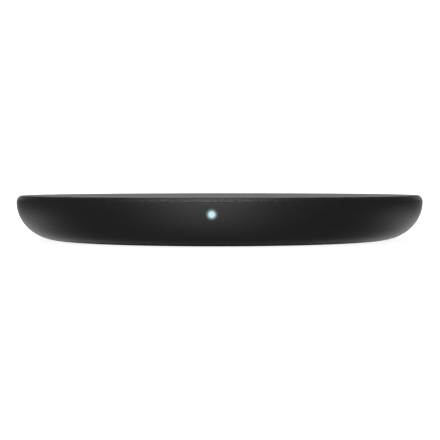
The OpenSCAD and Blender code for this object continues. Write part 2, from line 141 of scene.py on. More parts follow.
def finish_mesh(bm, name, sharp=SHARP):
    """Turns a bmesh into an object with outward faces, smooth except across edges sharper than the angle."""
    bmesh.ops.remove_doubles(bm, verts=bm.verts, dist=MERGE)
    bmesh.ops.recalc_face_normals(bm, faces=bm.faces)
    mesh = bpy.data.meshes.new(name)
    bm.to_mesh(mesh)
    bm.free()
    piece = bpy.data.objects.new(name, mesh)
    bpy.context.scene.collection.objects.link(piece)
    smooth(piece, sharp)
    return piece


def smooth(piece, sharp):
    for face in piece.data.polygons:
        face.use_smooth = True
    piece.data.set_sharp_from_angle(angle=radians(sharp))


def round_point(r, z, angle):
    """A point at a radius and height. Angle 0 is the light's side, -Y, and it grows towards +X."""
    return Vector((r * sin(angle), -r * cos(angle), z))


def ellipse(cx, cz, a, b, t0, t1, n):
    """Points of an ellipse's arc from angle t0 to t1, in degrees."""
    turns = (radians(t0 + (t1 - t0) * i / n) for i in range(n + 1))
    return [(cx + a * cos(t), cz + b * sin(t)) for t in turns]


def join_rings(bm, rings, closed=True, skip=()):
    """Faces between loops of vertices of equal length. A cell (i, k) in skip stays open."""
    n = len(rings[0])
    for i, (low, high) in enumerate(zip(rings, rings[1:])):
        for k in range(n if closed else n - 1):
            if (i, k) in skip:
                continue
            corners = [low[k], low[(k + 1) % n], high[(k + 1) % n], high[k]]
            corners = [v for j, v in enumerate(corners) if v is not corners[j - 1]]
            if len(corners) > 2:
                bm.faces.new(corners)


def lathe(bm, profile, segments=SEGMENTS, skip=()):
    """Turns (radius, height) points about Z. Returns one loop of vertices per point."""
    rings = []
    for r, z in profile:
        if r == 0:
            rings.append([bm.verts.new((0, 0, z))] * segments)
        else:
            rings.append([bm.verts.new(round_point(r, z, 2 * pi * k / segments)) for k in range(segments)])
    join_rings(bm, rings, skip=skip)
    return rings


def cap(bm, ring):
    """Closes a loop of vertices with a fan."""
    middle = bm.verts.new(sum((v.co for v in ring), Vector()) / len(ring))
    join_rings(bm, [ring, [middle] * len(ring)])


def turned(bm, profile, at, sides=48):
    """A profile turned about the vertical line through a place."""
    rings = lathe(bm, profile, segments=sides)
    bmesh.ops.translate(bm, verts=list({v for ring in rings for v in ring}), vec=at)


def box(bm, low, high):
    low, high = Vector(low), Vector(high)
    shape = Matrix.Translation((low + high) / 2) @ Matrix.Diagonal((*(high - low), 1))
    bmesh.ops.create_cube(bm, size=1, matrix=shape)


def rod(bm, start, end, r, sides=48):
    """A cylinder between two points."""
    start, end = Vector(start), Vector(end)
    turn = (end - start).to_track_quat("Z", "Y").to_matrix().to_4x4()
    place = Matrix.Translation((start + end) / 2) @ turn
    length = (end - start).length
    bmesh.ops.create_cone(bm, cap_ends=True, segments=sides, radius1=r, radius2=r, depth=length, matrix=place)


def bar(bm, sections, z, sides=192, closed=False):
    """A bar along Y through outlines, given as (outline, y). It is capped, or closed on itself."""
    turns = [2 * pi * k / sides for k in range(sides)]
    rings = [[bm.verts.new((x, y, z + dz)) for x, dz in (outline(t) for t in turns)]
             for outline, y in sections]
    if closed:
        join_rings(bm, rings + rings[:1])
        return
    join_rings(bm, rings)
    cap(bm, rings[0])
    cap(bm, rings[-1])


def combine(piece, tool, operation="DIFFERENCE"):
    """Cuts the tool's shape out of a piece, or adds it to the piece, and removes the tool."""
    change = piece.modifiers.new("shape", "BOOLEAN")
    change.operation, change.solver, change.object = operation, "MANIFOLD", tool
    ready = piece.evaluated_get(bpy.context.evaluated_depsgraph_get())
    shaped = bpy.data.meshes.new_from_object(ready)
    piece.modifiers.clear()
    piece.data = shaped
    bpy.data.objects.remove(tool)
    smooth(piece, SHARP)
    return piece


def sector(bm, profile, a0, a1, n):
    """A closed profile turned through part of a circle, with both ends closed."""
    loops = [[bm.verts.new(round_point(r, z, a0 + (a1 - a0) * i / n)) for r, z in profile]
             for i in range(n + 1)]
    join_rings(bm, loops)
    bm.faces.new(loops[0])
    bm.faces.new(reversed(loops[-1]))


# ---- The bowl's outside ----

BOWL_LEVELS = 42                       # rings from the base to the widest point
POCKET_LEVEL = 9                       # the ring where the pocket's window starts
POCKET_HALF, LIGHT_HALF = 22, 4        # half the width of each window, in cells
LIGHT_BELOW, LIGHT_ABOVE = 1.5 * MM, 1.3 * MM   # how far the light's window reaches


def bowl_radius(z):
    """Radius of the case's outside at a height."""
    if z > WIDEST_Z:
        return RIM_CR + sqrt(RIM_R ** 2 - (z - WIDEST_Z) ** 2)
    drop = min(1, (WIDEST_Z - z) / (WIDEST_Z - BASE_Z))
    return BOWL_CR + BOWL_W * sqrt(1 - drop ** 2)


def rim_angle(z):
    return asin((z - WIDEST_Z) / RIM_R) * 180 / pi


def seam_radius():
    return RIM_CR + RIM_R * cos(asin((SEAM_Z - WIDEST_Z) / RIM_R))


def bowl_profile():
    """Outside of the housing as a filled body, from the middle of the base to the middle of the top."""
    channel_ri = FOOT_RI - SLIP
    channel_ro = FOOT_RO + SLIP
    base = [(0, BASE_Z), (channel_ri, BASE_Z), (channel_ri, CHANNEL_Z)]
    base += [(channel_ro, CHANNEL_Z), (channel_ro, BASE_Z)]
    side = ellipse(BOWL_CR, WIDEST_Z, BOWL_W, WIDEST_Z - BASE_Z, -90, 0, BOWL_LEVELS)
    lip = ellipse(RIM_CR, WIDEST_Z, RIM_R, RIM_R, 0, rim_angle(SEAM_Z - CHAMFER), 5)
    return base + side + lip[1:] + [(seam_radius() - CHAMFER, SEAM_Z), (0, SEAM_Z)], len(base)


def window(low, high, middle, half):
    """Cells of a window in the lathe's grid, and the loop of vertices round it."""
    left, right = middle - half, middle + half
    cells = {(i, k % SEGMENTS) for i in range(low, high) for k in range(left, right)}
    edge = [(low, k) for k in range(left, right)]
    edge += [(i, right) for i in range(low, high)]
    edge += [(high, k) for k in range(right, left, -1)]
    edge += [(i, left) for i in range(high, low, -1)]
    return cells, [(i, k % SEGMENTS) for i, k in edge]


def rounded_outline(w, h, r, grow=0.0):
    """Function from a direction, in radians, to the point of a rounded rectangle that lies that way."""
    w, h, r = w + 2 * grow, h + 2 * grow, r + grow
    points = []
    for corner, (sx, sz) in enumerate(((1, 1), (-1, 1), (-1, -1), (1, -1))):
        for t in np.linspace(0, pi / 2, 60):
            turn = t + corner * pi / 2
            points.append((sx * (w / 2 - r) + r * cos(turn), sz * (h / 2 - r) + r * sin(turn)))
    points.append(points[0])
    fine = [(a[0] + (b[0] - a[0]) * f, a[1] + (b[1] - a[1]) * f)
            for a, b in zip(points, points[1:]) for f in np.linspace(0, 1, 12, endpoint=False)]
    angles = np.unwrap([atan2(z, x) for x, z in fine])
    reach = [hypot(x, z) for x, z in fine]

    def at(direction):
        turn = angles[0] + (direction - angles[0]) % (2 * pi)
        length = np.interp(turn, np.append(angles, angles[0] + 2 * pi), reach + reach[:1])
        return length * cos(direction), length * sin(direction)
    return at


class Recess:
    """A recess into the bowl's side: from a window in the lathe's grid, over the surface, then along Y."""

    def __init__(self, bm, edge, side, z):
        self.bm, self.edge, self.side, self.z = bm, edge, side, z
        self.turns = [atan2(v.co.z - z, v.co.x) for v in edge]
        self.rings = [edge]

    def on_surface(self, x, dz):
        z = self.z + dz
        return Vector((x, self.side * sqrt(bowl_radius(z) ** 2 - x ** 2), z))

    def add(self, points):
        self.rings.append([self.bm.verts.new(p) for p in points])

    def spread(self, outline, steps):
        """Rings over the curved surface, from the window's edge to the outline."""
        flat = [(v.co.x, v.co.z - self.z) for v in self.edge]
        target = [outline(t) for t in self.turns]
        for j in range(1, steps + 1):
            f = 1 - (1 - j / steps) ** 1.3
            self.add([self.on_surface(a[0] + (b[0] - a[0]) * f, a[1] + (b[1] - a[1]) * f)
                      for a, b in zip(flat, target)])

    def lip(self, outline, size, steps):
        """Rounds the edge between the curved surface and the recess's wall."""
        starts = [v.co.copy() for v in self.rings[-1]]
        corners = [self.on_surface(*outline(t)) for t in self.turns]
        inward = Vector((0, -self.side * size, 0))
        for j in range(1, steps + 1):
            f = j / steps
            self.add([a * (1 - f) ** 2 + b * 2 * f * (1 - f) + (b + inward) * f ** 2
                      for a, b in zip(starts, corners)])

    def wall_to(self, y, steps=1):
        starts = [v.co.copy() for v in self.rings[-1]]
        for j in range(1, steps + 1):
            self.add([Vector((p.x, p.y + (self.side * y - p.y) * j / steps, p.z)) for p in starts])

    def across(self, outline, y, steps=1, bend=None):
        """Rings to an outline in the plane at y. With a bend, the way there is a rounded corner."""
        starts = [v.co.copy() for v in self.rings[-1]]
        ends = [Vector((x, self.side * y, self.z + dz)) for x, dz in (outline(t) for t in self.turns)]
        for j in range(1, steps + 1):
            f = j / steps
            if bend is None:
                self.add([a.lerp(b, f) for a, b in zip(starts, ends)])
            else:
                corners = [Vector((a.x, b.y, a.z)) if bend == "in" else Vector((b.x, a.y, b.z))
                           for a, b in zip(starts, ends)]
                self.add([a * (1 - f) ** 2 + c * 2 * f * (1 - f) + b * f ** 2
                          for a, b, c in zip(starts, ends, corners)])

    def close(self):
        join_rings(self.bm, self.rings)
        cap(self.bm, self.rings[-1])


def pocket_recess(bm, edge):
    """The socket's pocket: rounded mouth, walls, floor, and the opening that the receptacle fills."""
    recess = Recess(bm, edge, 1, PORT_Z)
    mouth = rounded_outline(POCKET_W, POCKET_H, POCKET_R)
    recess.spread(rounded_outline(POCKET_W, POCKET_H, POCKET_R, MOUTH_ROUND), 7)
    recess.lip(mouth, MOUTH_ROUND, 5)
    recess.wall_to(POCKET_Y + FLOOR_ROUND, 4)
    recess.across(rounded_outline(POCKET_W, POCKET_H, POCKET_R, -FLOOR_ROUND), POCKET_Y, 5, bend="in")
    opening_w, opening_h = SHELL_W + SLIP, SHELL_H + SLIP
    opening_r = opening_h / 2 - HAIR
    edge_round = 0.12 * MM
    recess.across(rounded_outline(opening_w, opening_h, opening_r, edge_round), POCKET_Y, 4)
    recess.across(rounded_outline(opening_w, opening_h, opening_r), POCKET_Y - edge_round, 3, bend="out")
    recess.wall_to(POCKET_Y - 2 * POCKET_WALL, 2)
    recess.close()


def light_recess(bm, edge):
    """The hole that the light pipe fills."""
    recess = Recess(bm, edge, -1, LIGHT_Z)
    hole_r = LIGHT_R + 0.025 * MM
    edge_round = 0.05 * MM
    recess.spread(lambda t: ((hole_r + edge_round) * cos(t), (hole_r + edge_round) * sin(t)), 5)
    recess.lip(lambda t: (hole_r * cos(t), hole_r * sin(t)), edge_round, 3)
    recess.wall_to(SLEEVE_Y - CUT, 2)
    recess.close()


def bowl_body():
    """The housing's outside as one closed body with both recesses, before it is hollowed."""
    profile, base_rings = bowl_profile()
    heights = [z for _, z in profile]
    pocket_low = base_rings + POCKET_LEVEL
    pocket_high = base_rings + BOWL_LEVELS
    light_low = next(i for i, z in enumerate(heights) if i > base_rings and z > LIGHT_Z - LIGHT_BELOW)
    light_high = next(i for i, z in enumerate(heights) if i > base_rings and z > LIGHT_Z + LIGHT_ABOVE)
    pocket_cells, pocket_edge = window(pocket_low, pocket_high, SEGMENTS // 2, POCKET_HALF)
    light_cells, light_edge = window(light_low, light_high, 0, LIGHT_HALF)
    bm = bmesh.new()
    rings = lathe(bm, profile, skip=pocket_cells | light_cells)
    pocket_recess(bm, [rings[i][k] for i, k in pocket_edge])
    light_recess(bm, [rings[i][k] for i, k in light_edge])
    return finish_mesh(bm, "lower_case")


# ---- The bowl's inside ----

def at_screws(z):
    return [round_point(SCREW_RING_R, z, pi / 4 + k * pi / 2) for k in range(SCREWS)]


def standing_parts():
    """What stands in the housing: the pocket's walls, the light's sleeve, the screw bosses and the ribs."""
    outline = rounded_outline(POCKET_W, POCKET_H, POCKET_R, POCKET_WALL)
    head_room = COVER_Z - SLIP - PORT_Z
    bm = bmesh.new()

    def walls(turn):
        x, dz = outline(turn)
        return x, min(dz, head_room)

    bar(bm, [(walls, POCKET_Y - POCKET_WALL), (walls, PAD_R)], PORT_Z, sides=96)
    rod(bm, (0, -SLEEVE_Y, LIGHT_Z), (0, -PAD_R, LIGHT_Z), SLEEVE_R)
    for low, high in zip(at_screws(FLOOR_Z - CUT), at_screws(BOARD_Z)):
        rod(bm, low, high, BOSS_R)
    for k in range(RIBS):
        rib = bmesh.new()
        box(rib, (RIB_R0, -RIB_W / 2, FLOOR_Z - CUT), (RIB_R1, RIB_W / 2, FLOOR_Z + RIB_H))
        bmesh.ops.rotate(rib, verts=rib.verts, matrix=Matrix.Rotation(k * pi / 6, 3, "Z"))
        part = bpy.data.meshes.new("rib")
        rib.to_mesh(part)
        bm.from_mesh(part)
        rib.free()
        bpy.data.meshes.remove(part)
    return finish_mesh(bm, "standing_parts")


def room():
    """The room inside the housing, without what stands in it."""
    inner = ellipse(BOWL_CR, WIDEST_Z, BOWL_W - WALL, WIDEST_Z - FLOOR_Z, -90, 0, 18)
    bm = bmesh.new()
    lathe(bm, [(0, FLOOR_Z)] + inner + [(PAD_R - WALL, SEAM_Z + CUT), (0, SEAM_Z + CUT)], segments=180)
    return combine(finish_mesh(bm, "room"), standing_parts())


def holes():
    """The screw holes, and the grooves that the cover's hooks snap into."""
    hole = [(0, CHANNEL_Z - CUT), (HEAD_HOLE_R, CHANNEL_Z - CUT), (HEAD_HOLE_R, CHANNEL_Z + HEAD_H),
            (SHANK_HOLE_R, CHANNEL_Z + HEAD_H), (SHANK_HOLE_R, BOARD_Z + CUT), (0, BOARD_Z + CUT)]
    groove = [(r * MM, z * MM) for r, z in GROOVE]
    half = radians(GROOVE_SPAN / 2)
    bm = bmesh.new()
    for place in at_screws(0):
        turned(bm, hole, place)
    for k in range(GROOVES):
        middle = pi / 2 + k * pi / 3
        sector(bm, groove, middle - half, middle + half, 13)
    return finish_mesh(bm, "holes")


def lower_case():
    return combine(combine(bowl_body(), room()), holes())


# ---- The foot, the skin and the light ----

def rubber_foot():
    edge = 0.25 * MM
    bm = bmesh.new()
    low, high = foot_lo.z, foot_hi.z
    corner = [(FOOT_RO - edge, low + edge), (FOOT_RI + edge, low + edge)]
    outline = ellipse(*corner[0], edge, edge, -90, 0, 5)
    outline += [(FOOT_RO, high), (FOOT_RI, high)]
    outline += ellipse(*corner[1], edge, edge, -180, -90, 5)
    outline += [(FOOT_RI + (FOOT_RO - FOOT_RI) * f, low) for f in (0.25, 0.5, 0.75)]
    lathe(bm, outline + outline[:1], segments=360)
    return finish_mesh(bm, "rubber_foot")


def skin_profile():
    blend_z = TOP_Z - RIM_BLEND
    blend_r = RIM_CR + sqrt((RIM_R - RIM_BLEND) ** 2 - (blend_z - WIDEST_Z) ** 2)
    meet = atan2(blend_z - WIDEST_Z, blend_r - RIM_CR) * 180 / pi
    under = [(0, SKIN_UNDER_Z), (SKIRT_R, SKIN_UNDER_Z), (SKIRT_R, SEAM_Z), (seam_radius() - CHAMFER, SEAM_Z)]
    rim = ellipse(RIM_CR, WIDEST_Z, RIM_R, RIM_R, rim_angle(SEAM_Z + CHAMFER), meet, 16)
    blend = ellipse(blend_r, blend_z, RIM_BLEND, RIM_BLEND, meet, 90, 8)
    top = [(blend_r * f, TOP_Z) for f in (0.96, 0.8, 0.6, 0.4, 0.2)] + [(0, TOP_Z)]
    return under + rim + blend[1:] + top


def soft_top():
    bm = bmesh.new()
    lathe(bm, skin_profile())
    return finish_mesh(bm, "soft_top")


def light_rod():
    """The rod through the sleeve. Its outer end follows the bowl's surface, with a softened edge."""
    bm = bmesh.new()
    sides = 48
    edge = 0.06 * MM
    sunk = 0.015 * MM
    turns = [2 * pi * k / sides for k in range(sides)]

    def curved(r, back):
        places = [(r * cos(t), LIGHT_Z + r * sin(t)) for t in turns]
        return [bm.verts.new((x, back - sqrt(bowl_radius(z) ** 2 - x ** 2), z)) for x, z in places]

    def flat(r, y):
        return [bm.verts.new((r * cos(t), -y, LIGHT_Z + r * sin(t))) for t in turns]

    rings = [curved(r * LIGHT_R, sunk) for r in (0.15, 0.3, 0.45, 0.6, 0.75, 0.87)]
    rings += [curved(LIGHT_R - edge * (1 - sin(t)), sunk + edge * (1 - cos(t)))
              for t in (0, pi / 6, pi / 3, pi / 2)]
    collar_y = SLEEVE_Y - SLIP / 2
    rings += [flat(LIGHT_R, collar_y), flat(COLLAR_R, collar_y), flat(COLLAR_R, collar_y - COLLAR_T)]
    rings += [flat(LIGHT_R, collar_y - COLLAR_T), flat(LIGHT_R, PIPE_FOOT_Y)]
    join_rings(bm, rings)
    cap(bm, rings[0])
    cap(bm, rings[-1])
    return finish_mesh(bm, "light_rod")


def light_window():
    """The rod, and the foot that stands over the light-emitting chip, with its slanted mirror face."""
    top = LIGHT_Z + LIGHT_R
    foot = bmesh.new()
    upright = [(0, pipe_lo.z), (PIPE_FOOT_R, pipe_lo.z), (PIPE_FOOT_R, top), (0, top)]
    turned(foot, upright, (0, -PIPE_FOOT_Y, 0))
    mirror = bmesh.new()
    box(mirror, (-1.5 * MM, -LIGHT_R, -LIGHT_R), (1.5 * MM, LIGHT_R, LIGHT_R))
    bmesh.ops.rotate(mirror, verts=mirror.verts, matrix=Matrix.Rotation(pi / 4, 3, "X"))
    bmesh.ops.translate(mirror, verts=mirror.verts, vec=(0, PIPE_FOOT_R - PIPE_FOOT_Y, top))
    joined = combine(light_rod(), finish_mesh(foot, "foot"), "UNION")
    piece = combine(joined, finish_mesh(mirror, "mirror"))
    piece.name = "light_window"
    return piece


# ---- The socket ----

def socket_shell():
    """The socket's metal shell: an oval tube with rounded lips, a gap for the contacts' tails, four legs."""
    w, h, r = SHELL_W, SHELL_H, SHELL_H / 2 - HAIR
    thick, edge = 0.3 * MM, 0.1 * MM
    turns = [radians(t) for t in (0, 22, 45, 67, 90)]
    outer = [(edge * (1 - cos(t)), shell_hi.y - edge * (1 - sin(t))) for t in turns]
    inner = [(thick - inset, y) for inset, y in reversed(outer)]
    steps = [(0, shell_lo.y)] + outer + inner + [(thick, shell_lo.y)]
    bm = bmesh.new()
    bar(bm, [(rounded_outline(w, h, r, -inset), y) for inset, y in steps], PORT_Z, closed=True)
    gap = bmesh.new()
    half = TAIL_GAP_W / 2
    gap_end = (half, shell_lo.y + TAIL_GAP_L, BOARD_TOP + thick + SLIP)
    box(gap, (-half, shell_lo.y - CUT, BOARD_TOP - CUT), gap_end)
    piece = combine(finish_mesh(bm, "socket_shell"), finish_mesh(gap, "gap"))
    legs = bmesh.new()
    for side in (-1, 1):
        for step in LEG_STEPS:
            ends = sorted((side * (w / 2 - 0.005 * MM), side * (w / 2 - thick)))
            y = shell_lo.y + step
            box(legs, (ends[0], y - LEG_L / 2, shell_lo.z), (ends[1], y + LEG_L / 2, PORT_Z))
    return combine(piece, finish_mesh(legs, "legs"), "UNION")


def socket_core():
    """The black insert and its tongue, which is bevelled at the nose."""
    edge, nose = 0.06 * MM, 0.3 * MM
    r = CORE_H / 2 - HAIR
    core = bmesh.new()
    steps = [(0, CORE_Y0), (0, CORE_Y1 - edge), (edge, CORE_Y1)]
    bar(core, [(rounded_outline(CORE_W, CORE_H, r, -inset), y) for inset, y in steps], PORT_Z)
    tongue = bmesh.new()
    steps = [(0, CORE_Y1 - edge * 2), (0, core_hi.y - nose)]
    steps += [(0.1 * MM, core_hi.y - edge), (0.15 * MM, core_hi.y)]
    bar(tongue, [(rounded_outline(TONGUE_W, TONGUE_H, 0.2 * MM, -inset), y) for inset, y in steps], PORT_Z)
    return combine(finish_mesh(core, "socket_core"), finish_mesh(tongue, "tongue"), "UNION")


# ---- The coil ----

def litz_coil():
    """A flat spiral of half turns with alternating centres. The lobes of its section twist like strands."""
    lobes, lobe_depth, lay = 6, 0.03 * MM, 20 * MM
    sides, stride = 24, 0.9 * MM
    wire_r = (coil_hi.z - coil_lo.z) / 2
    axis_z = (coil_hi.z + coil_lo.z) / 2
    bm = bmesh.new()
    rings = []
    gone = 0.0
    for k in range(2 * COIL_TURNS):
        r = COIL_R0 + k * COIL_PITCH / 2
        middle_x = k % 2 * COIL_PITCH / 2
        steps = int(pi * r / stride)
        for i in range(steps + (k == 2 * COIL_TURNS - 1)):
            turn = pi * (k + i / steps)
            twist = 2 * pi * gone / lay
            ring = []
            for j in range(sides):
                t = 2 * pi * j / sides
                reach = wire_r - lobe_depth * (1 + cos(lobes * (t - twist))) / 2
                out = r + reach * cos(t)
                place = (middle_x + out * cos(turn), out * sin(turn), axis_z + reach * sin(t))
                ring.append(bm.verts.new(place))
            rings.append(ring)
            gone += pi * r / steps
    join_rings(bm, rings)
    cap(bm, rings[0])
    cap(bm, rings[-1])
    return finish_mesh(bm, "litz_coil", 60)


# ---- Materials ----

GLOW_COLOUR = (0.66, 0.965, 1, 1)
# Strength of the light by distance in millimetres: on the lit end itself, and painted glow on the case round
# it
LIT_END = [(0, 0.83), (0.42, 0.81), (0.58, 0.68), (0.67, 0.54), (0.79, 0.37), (0.88, 0.24), (3, 0.05)]
PAINTED_HALO = [(0, 0.22), (0.88, 0.22), (1, 0.145), (1.1, 0.095), (1.22, 0.045), (1.35, 0.012), (1.5, 0)]

BLACK, DARK, CERAMIC = (0.028, 0.028, 0.031), (0.05, 0.05, 0.055), (0.46, 0.3, 0.15)
STEEL, ALUMINIUM = (0.5, 0.51, 0.53), (0.78, 0.79, 0.81)
# Inner pieces: colour, metallic, roughness, grain per metre and the grain's height in millimetres
FINISHES = {
    "top_cover": (DARK, 0, 0.5, 1500, 0.02),
    "foot_adhesive": ((0.7, 0.66, 0.55), 0, 0.4, 900, 0.01),
    "housing_screws": (STEEL, 1, 0.32, 3000, 0.01),
    "coil_carrier": ((0.8, 0.78, 0.73), 0, 0.5, 1200, 0.02),
    "carrier_screws": (STEEL, 1, 0.32, 3000, 0.01),
    "shield_plate": (ALUMINIUM, 1, 0.4, 2000, 0.01),
    "ferrite_disc": ((0.09, 0.085, 0.08), 0, 0.7, 2600, 0.03),
    "ferrite_tape": ((0.82, 0.77, 0.6), 0, 0.3, 700, 0.01),
    "coil_leads": ((0.25, 0.02, 0.02), 0, 0.5, 3000, 0.02),
    "coil_thermal_pad": ((0.35, 0.45, 0.55), 0, 0.8, 2200, 0.04),
    "thermistor": ((0.04, 0.14, 0.07), 0, 0.25, 1500, 0.01),
    "usb_c_contacts": ((0.85, 0.62, 0.25), 1, 0.25, 2500, 0.005),
    "controller_ic": (BLACK, 0, 0.55, 4000, 0.02),
    "bridge_mosfets": (BLACK, 0, 0.5, 4000, 0.02),
    "resonant_capacitors": (CERAMIC, 0, 0.35, 2500, 0.01),
    "bulk_capacitors": (ALUMINIUM, 1, 0.3, 2500, 0.01),
    "power_inductor": ((0.1, 0.1, 0.105), 0, 0.6, 3000, 0.04),
    "current_sense_resistor": (BLACK, 0, 0.4, 3000, 0.01),
    "crystal": ((0.66, 0.63, 0.5), 1, 0.3, 2500, 0.01),
    "surge_diode": (BLACK, 0, 0.5, 4000, 0.02),
    "decoupling_capacitors": (CERAMIC, 0, 0.35, 2500, 0.01),
    "chip_resistors": (BLACK, 0, 0.4, 3000, 0.01),
    "status_led": ((0.9, 0.95, 0.85), 0, 0.3, 2000, 0.005),
}


class Look:
    """A principled material built from procedural nodes in the object's own space."""

    def __init__(self, name, **settings):
        self.material = bpy.data.materials.new(name)
        self.material.use_nodes = True
        self.nodes = self.material.node_tree.nodes
        self.links = self.material.node_tree.links
        self.shader = self.nodes["Principled BSDF"]
        self.place = self.nodes.new("ShaderNodeTexCoord").outputs["Object"]
        for socket, value in settings.items():
            self.shader.inputs[socket.replace("_", " ")].default_value = value

    def noise(self, scale, detail=3.0, roughness=0.5):
        node = self.nodes.new("ShaderNodeTexNoise")
        node.inputs["Scale"].default_value = scale
        node.inputs["Detail"].default_value = detail
        node.inputs["Roughness"].default_value = roughness
        self.links.new(self.place, node.inputs["Vector"])
        return node.outputs["Fac"]

    def ramp(self, factor, low, high, start=0.3, end=0.7):
        node = self.nodes.new("ShaderNodeValToRGB")
        for element, place, colour in zip(node.color_ramp.elements, (start, end), (low, high)):
            element.position = place
            element.color = (*colour, 1)
        self.links.new(factor, node.inputs["Fac"])
        return node.outputs["Color"]

    def between(self, factor, low, high):
        node = self.nodes.new("ShaderNodeMapRange")
        node.inputs["To Min"].default_value = low
        node.inputs["To Max"].default_value = high
        self.links.new(factor, node.inputs["Value"])
        return node.outputs["Result"]

    def distance(self, point):
        node = self.nodes.new("ShaderNodeVectorMath")
        node.operation = "DISTANCE"
        self.links.new(self.place, node.inputs[0])
        node.inputs[1].default_value = point
        return node.outputs["Value"]

    def levels(self, value, stops):
        """Follows (value, level) stops in order, from a first value of 0."""
        reach = stops[-1][0]
        scaled = self.nodes.new("ShaderNodeMapRange")
        scaled.inputs["From Max"].default_value = reach
        self.links.new(value, scaled.inputs["Value"])
        node = self.nodes.new("ShaderNodeValToRGB")
        elements = node.color_ramp.elements
        while len(elements) < len(stops):
            elements.new(0.5)
        for element, (place, level) in zip(elements, stops):
            element.position = place / reach
            element.color = (level, level, level, 1)
        self.links.new(scaled.outputs["Result"], node.inputs["Fac"])
        return node.outputs["Color"]

    def set(self, socket, output):
        self.links.new(output, self.shader.inputs[socket])
        return self

    def bump(self, height, strength, distance):
        node = self.nodes.new("ShaderNodeBump")
        node.inputs["Strength"].default_value = strength
        node.inputs["Distance"].default_value = distance
        self.links.new(height, node.inputs["Height"])
        self.links.new(node.outputs["Normal"], self.shader.inputs["Normal"])
        return self


def grey(level):
    return (level, level, level)


def glow(look, stops):
    """Light from the front opening, by the distance from its middle."""
    look.shader.inputs["Emission Color"].default_value = GLOW_COLOUR
    middle = (0, -bowl_radius(LIGHT_Z), LIGHT_Z)
    strength = look.levels(look.distance(middle), [(r * MM, level) for r, level in stops])
    return look.set("Emission Strength", strength)


def case_plastic():
    look = Look("satin_black_plastic")
    look.set("Base Color", look.ramp(look.noise(700), grey(0.009), grey(0.011)))
    look.set("Roughness", look.between(look.noise(2600), 0.44, 0.48))
    # Painted glow: the case's plastic round the light's hole gives light of its own, fading out 1.5 mm from
    # the middle
    glow(look, PAINTED_HALO)
    return look.bump(look.noise(9000, 2), 0.04, 0.02 * MM).material


def skin_rubber():
    look = Look("soft_black_skin")
    look.set("Base Color", look.ramp(look.noise(5200, 2), grey(0.008), grey(0.010)))
    look.set("Roughness", look.between(look.noise(4100, 2), 0.33, 0.42))
    grain = look.noise(3600, 1)
    look.set("Specular IOR Level", look.ramp(grain, grey(0.25), grey(0.85)))
    return look.bump(grain, 1.0, 0.02 * MM).material


def foot_rubber():
    look = Look("foot_rubber", Roughness=0.7)
    look.set("Base Color", look.ramp(look.noise(900), grey(0.012), grey(0.017)))
    return look.bump(look.noise(4000), 0.2, 0.02 * MM).material


def light_acrylic():
    look = Look("lit_acrylic", Roughness=0.35)
    look.set("Base Color", look.ramp(look.noise(1200), (0.05, 0.075, 0.08), (0.06, 0.085, 0.09)))
    return glow(look, LIT_END).material


def strands():
    """Enamelled copper in fine strands."""
    look = Look("enamelled_copper", Metallic=0.85)
    look.set("Base Color", look.ramp(look.noise(3000, 4, 0.7), (0.45, 0.18, 0.07), (0.72, 0.33, 0.15)))
    look.set("Roughness", look.between(look.noise(2500), 0.28, 0.42))
    return look.bump(look.noise(7000, 4), 0.4, 0.03 * MM).material


def solder_mask():
    """Green mask over the board's copper, which shows as lighter bands."""
    look = Look("green_solder_mask", Roughness=0.3)
    bricks = look.nodes.new("ShaderNodeTexBrick")
    look.links.new(look.place, bricks.inputs["Vector"])
    for socket, value in (("Scale", 420), ("Mortar Size", 0.05), ("Mortar Smooth", 0.1)):
        bricks.inputs[socket].default_value = value
    bricks.inputs["Color1"].default_value = (0.012, 0.15, 0.06, 1)
    bricks.inputs["Color2"].default_value = (0.016, 0.18, 0.08, 1)
    bricks.inputs["Mortar"].default_value = (0.03, 0.26, 0.12, 1)
    look.set("Base Color", bricks.outputs["Color"])
    return look.bump(look.noise(2500), 0.1, 0.02 * MM).material


def finish(name, colour, metal, roughness, grain, depth):
    """A plain finish: its colour and roughness wander a little. Its grain's depth is in metres."""
    look = Look(name, Metallic=metal)
    speckle = look.noise(grain)
    look.set("Base Color", look.ramp(speckle, tuple(c * 0.85 for c in colour), colour))
    look.set("Roughness", look.between(look.noise(grain / 2), roughness - 0.05, roughness + 0.05))
    return look.bump(speckle, 0.3, depth).material


# ---- Studio ----

def camera():
    """The photograph's view: a long lens, a little over 3 mm above the pad's top."""
    distance = 334.8 * MM
    eye_z = 14.85 * MM
    turn = radians(1.95)
    tilt = radians(-0.05)
    aim = Vector((0.085 * MM, 0, 4.83 * MM))
    data = bpy.data.cameras.new("camera")
    data.sensor_width = 36
    data.lens = 112.35
    data.clip_start, data.clip_end = 0.01, 20
    cam = bpy.data.objects.new("camera", data)
    cam.location = (distance * sin(turn), -distance * cos(turn), eye_z)
    level = (aim - cam.location).to_track_quat("-Z", "Y")
    cam.rotation_euler = (level @ Quaternion((0, 0, 1), tilt)).to_euler()
    bpy.context.scene.collection.objects.link(cam)
    bpy.context.scene.camera = cam


TABLE_Z = -0.02 * MM                   # just clear of the foot's underside
TABLE_R = 3
TABLE_MIDDLE_R = 0.3                   # a ring of faces round the pad
SHADE_Z = 0.05 * MM
SHADE_R = BOWL_CR + 2 * MM


def table():
    bm = bmesh.new()
    lathe(bm, [(0, TABLE_Z), (TABLE_MIDDLE_R, TABLE_Z), (TABLE_R, TABLE_Z)], segments=96)
    floor = finish_mesh(bm, "table")
    look = Look("white_table", Roughness=0.9, Base_Color=(0.85, 0.85, 0.85, 1))
    look.set("Base Color", look.ramp(look.noise(3), grey(0.84), grey(0.86)))
    look.shader.inputs["Emission Color"].default_value = (1, 1, 1, 1)
    look.shader.inputs["Emission Strength"].default_value = 0.9
    floor.data.materials.append(look.material)
    floor.visible_glossy = False
    floor.visible_diffuse = False
    floor.visible_shadow = False


